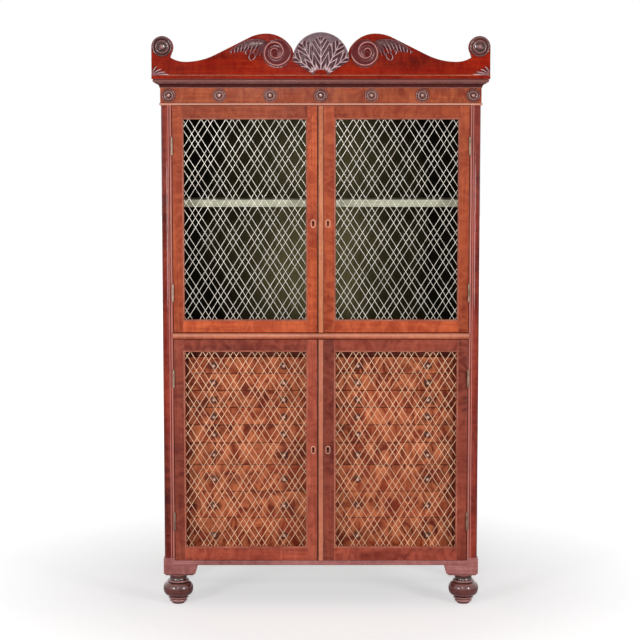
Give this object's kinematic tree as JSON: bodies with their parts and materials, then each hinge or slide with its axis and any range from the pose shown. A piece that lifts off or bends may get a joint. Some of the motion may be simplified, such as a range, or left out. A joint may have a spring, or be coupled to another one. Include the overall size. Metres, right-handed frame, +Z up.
{
  "type": "specimen cabinet",
  "caption": "Tall mahogany specimen cabinet with brass lattice doors over and under a mid rail, graduated drawers behind the lower doors, a scrolled pediment and turned front feet.",
  "frame": {"origin": "on the floor under the middle of the cabinet's overall box", "axes": "+Z up, -Y towards a person who faces the doors, +X to that person's right"},
  "size_m": [1.175, 0.474, 2.032],
  "materials": {
    "case_mahogany": "polished",
    "frieze_mahogany": "polished",
    "pediment_mahogany": "polished",
    "carved_mahogany": "polished",
    "turned_mahogany": "polished",
    "upper_door_mahogany": "polished",
    "lower_door_mahogany": "polished",
    "drawer_mahogany": "satin",
    "painted_backboards": "matte",
    "painted_shelf": "satin",
    "carcase_deal": "matte",
    "lattice_brass": "satin",
    "fitting_brass": "polished"
  },
  "bodies": {
    "carcase": {"backboards": "painted_backboards", "bank_frame": "carcase_deal", "bottom_board": "carcase_deal", "bottom_rail": "case_mahogany", "case_sides": "case_mahogany", "corner_posts": "case_mahogany", "cornice": "frieze_mahogany", "drawer_runners": "carcase_deal", "fixed_hinge_leaves": "fitting_brass", "foot_blocks": "case_mahogany", "frieze_bead": "frieze_mahogany", "frieze_board": "frieze_mahogany", "frieze_bosses": "carved_mahogany", "front_feet": "turned_mahogany", "middle_board": "carcase_deal", "middle_rail": "case_mahogany", "pediment_board": "pediment_mahogany", "pediment_rosettes": "carved_mahogany", "pediment_scrolls": "pediment_mahogany", "pediment_shell": "carved_mahogany", "rear_feet": "case_mahogany", "shelf": "painted_shelf", "shelf_battens": "carcase_deal", "top_board": "case_mahogany"},
    "upper_left_door": {"upper_left_door_frame": "upper_door_mahogany", "upper_left_lattice": "lattice_brass", "upper_left_hinge_leaves": "fitting_brass", "upper_left_lock": "fitting_brass"},
    "upper_right_door": {"upper_right_door_frame": "upper_door_mahogany", "upper_right_lattice": "lattice_brass", "upper_right_hinge_leaves": "fitting_brass", "upper_right_lock": "fitting_brass", "upper_astragal": "upper_door_mahogany"},
    "lower_left_door": {"lower_left_door_frame": "lower_door_mahogany", "lower_left_lattice": "lattice_brass", "lower_left_hinge_leaves": "fitting_brass", "lower_left_lock": "fitting_brass"},
    "lower_right_door": {"lower_right_door_frame": "lower_door_mahogany", "lower_right_lattice": "lattice_brass", "lower_right_hinge_leaves": "fitting_brass", "lower_right_lock": "fitting_brass", "lower_astragal": "lower_door_mahogany"},
    "drawer_left_1": {"drawer_left_1": "drawer_mahogany"},
    "drawer_left_2": {"drawer_left_2": "drawer_mahogany"},
    "drawer_left_3": {"drawer_left_3": "drawer_mahogany"},
    "drawer_left_4": {"drawer_left_4": "drawer_mahogany"},
    "drawer_left_5": {"drawer_left_5": "drawer_mahogany"},
    "drawer_left_6": {"drawer_left_6": "drawer_mahogany"},
    "drawer_left_7": {"drawer_left_7": "drawer_mahogany"},
    "drawer_left_8": {"drawer_left_8": "drawer_mahogany"},
    "drawer_left_9": {"drawer_left_9": "drawer_mahogany"},
    "drawer_right_1": {"drawer_right_1": "drawer_mahogany"},
    "drawer_right_2": {"drawer_right_2": "drawer_mahogany"},
    "drawer_right_3": {"drawer_right_3": "drawer_mahogany"},
    "drawer_right_4": {"drawer_right_4": "drawer_mahogany"},
    "drawer_right_5": {"drawer_right_5": "drawer_mahogany"},
    "drawer_right_6": {"drawer_right_6": "drawer_mahogany"},
    "drawer_right_7": {"drawer_right_7": "drawer_mahogany"},
    "drawer_right_8": {"drawer_right_8": "drawer_mahogany"},
    "drawer_right_9": {"drawer_right_9": "drawer_mahogany"}
  },
  "joints": [
    {"name": "upper_left_door_swing", "type": "hinge", "parent": "carcase", "child": "upper_left_door", "pos_m": [-0.52075, -0.2072, 1.3835], "axis": [0, 0, -1], "range_deg": [0, 170]},
    {"name": "upper_right_door_swing", "type": "hinge", "parent": "carcase", "child": "upper_right_door", "pos_m": [0.52075, -0.2072, 1.3835], "axis": [0, 0, 1], "range_deg": [0, 170]},
    {"name": "lower_left_door_swing", "type": "hinge", "parent": "carcase", "child": "lower_left_door", "pos_m": [-0.52075, -0.2072, 0.564], "axis": [0, 0, -1], "range_deg": [0, 170]},
    {"name": "lower_right_door_swing", "type": "hinge", "parent": "carcase", "child": "lower_right_door", "pos_m": [0.52075, -0.2072, 0.564], "axis": [0, 0, 1], "range_deg": [0, 170]},
    {"name": "drawer_left_1_slide", "type": "slide", "parent": "carcase", "child": "drawer_left_1", "axis": [0, -1, 0], "range_m": [0, 0.3]},
    {"name": "drawer_left_2_slide", "type": "slide", "parent": "carcase", "child": "drawer_left_2", "axis": [0, -1, 0], "range_m": [0, 0.3]},
    {"name": "drawer_left_3_slide", "type": "slide", "parent": "carcase", "child": "drawer_left_3", "axis": [0, -1, 0], "range_m": [0, 0.3]},
    {"name": "drawer_left_4_slide", "type": "slide", "parent": "carcase", "child": "drawer_left_4", "axis": [0, -1, 0], "range_m": [0, 0.3]},
    {"name": "drawer_left_5_slide", "type": "slide", "parent": "carcase", "child": "drawer_left_5", "axis": [0, -1, 0], "range_m": [0, 0.3]},
    {"name": "drawer_left_6_slide", "type": "slide", "parent": "carcase", "child": "drawer_left_6", "axis": [0, -1, 0], "range_m": [0, 0.3]},
    {"name": "drawer_left_7_slide", "type": "slide", "parent": "carcase", "child": "drawer_left_7", "axis": [0, -1, 0], "range_m": [0, 0.3]},
    {"name": "drawer_left_8_slide", "type": "slide", "parent": "carcase", "child": "drawer_left_8", "axis": [0, -1, 0], "range_m": [0, 0.3]},
    {"name": "drawer_left_9_slide", "type": "slide", "parent": "carcase", "child": "drawer_left_9", "axis": [0, -1, 0], "range_m": [0, 0.3]},
    {"name": "drawer_right_1_slide", "type": "slide", "parent": "carcase", "child": "drawer_right_1", "axis": [0, -1, 0], "range_m": [0, 0.3]},
    {"name": "drawer_right_2_slide", "type": "slide", "parent": "carcase", "child": "drawer_right_2", "axis": [0, -1, 0], "range_m": [0, 0.3]},
    {"name": "drawer_right_3_slide", "type": "slide", "parent": "carcase", "child": "drawer_right_3", "axis": [0, -1, 0], "range_m": [0, 0.3]},
    {"name": "drawer_right_4_slide", "type": "slide", "parent": "carcase", "child": "drawer_right_4", "axis": [0, -1, 0], "range_m": [0, 0.3]},
    {"name": "drawer_right_5_slide", "type": "slide", "parent": "carcase", "child": "drawer_right_5", "axis": [0, -1, 0], "range_m": [0, 0.3]},
    {"name": "drawer_right_6_slide", "type": "slide", "parent": "carcase", "child": "drawer_right_6", "axis": [0, -1, 0], "range_m": [0, 0.3]},
    {"name": "drawer_right_7_slide", "type": "slide", "parent": "carcase", "child": "drawer_right_7", "axis": [0, -1, 0], "range_m": [0, 0.3]},
    {"name": "drawer_right_8_slide", "type": "slide", "parent": "carcase", "child": "drawer_right_8", "axis": [0, -1, 0], "range_m": [0, 0.3]},
    {"name": "drawer_right_9_slide", "type": "slide", "parent": "carcase", "child": "drawer_right_9", "axis": [0, -1, 0], "range_m": [0, 0.3]}
  ],
  "couplings": [
    {"joint": "drawer_left_1_slide", "follows": "lower_left_door_swing", "m_per_rad": 0.042},
    {"joint": "drawer_left_2_slide", "follows": "lower_left_door_swing", "m_per_rad": 0.04725},
    {"joint": "drawer_left_3_slide", "follows": "lower_left_door_swing", "m_per_rad": 0.0525},
    {"joint": "drawer_left_4_slide", "follows": "lower_left_door_swing", "m_per_rad": 0.05775},
    {"joint": "drawer_left_5_slide", "follows": "lower_left_door_swing", "m_per_rad": 0.063},
    {"joint": "drawer_left_6_slide", "follows": "lower_left_door_swing", "m_per_rad": 0.06825},
    {"joint": "drawer_left_7_slide", "follows": "lower_left_door_swing", "m_per_rad": 0.0735},
    {"joint": "drawer_left_8_slide", "follows": "lower_left_door_swing", "m_per_rad": 0.07875},
    {"joint": "drawer_left_9_slide", "follows": "lower_left_door_swing", "m_per_rad": 0.084},
    {"joint": "drawer_right_1_slide", "follows": "lower_right_door_swing", "m_per_rad": 0.042},
    {"joint": "drawer_right_2_slide", "follows": "lower_right_door_swing", "m_per_rad": 0.04725},
    {"joint": "drawer_right_3_slide", "follows": "lower_right_door_swing", "m_per_rad": 0.0525},
    {"joint": "drawer_right_4_slide", "follows": "lower_right_door_swing", "m_per_rad": 0.05775},
    {"joint": "drawer_right_5_slide", "follows": "lower_right_door_swing", "m_per_rad": 0.063},
    {"joint": "drawer_right_6_slide", "follows": "lower_right_door_swing", "m_per_rad": 0.06825},
    {"joint": "drawer_right_7_slide", "follows": "lower_right_door_swing", "m_per_rad": 0.0735},
    {"joint": "drawer_right_8_slide", "follows": "lower_right_door_swing", "m_per_rad": 0.07875},
    {"joint": "drawer_right_9_slide", "follows": "lower_right_door_swing", "m_per_rad": 0.084}
  ]
}
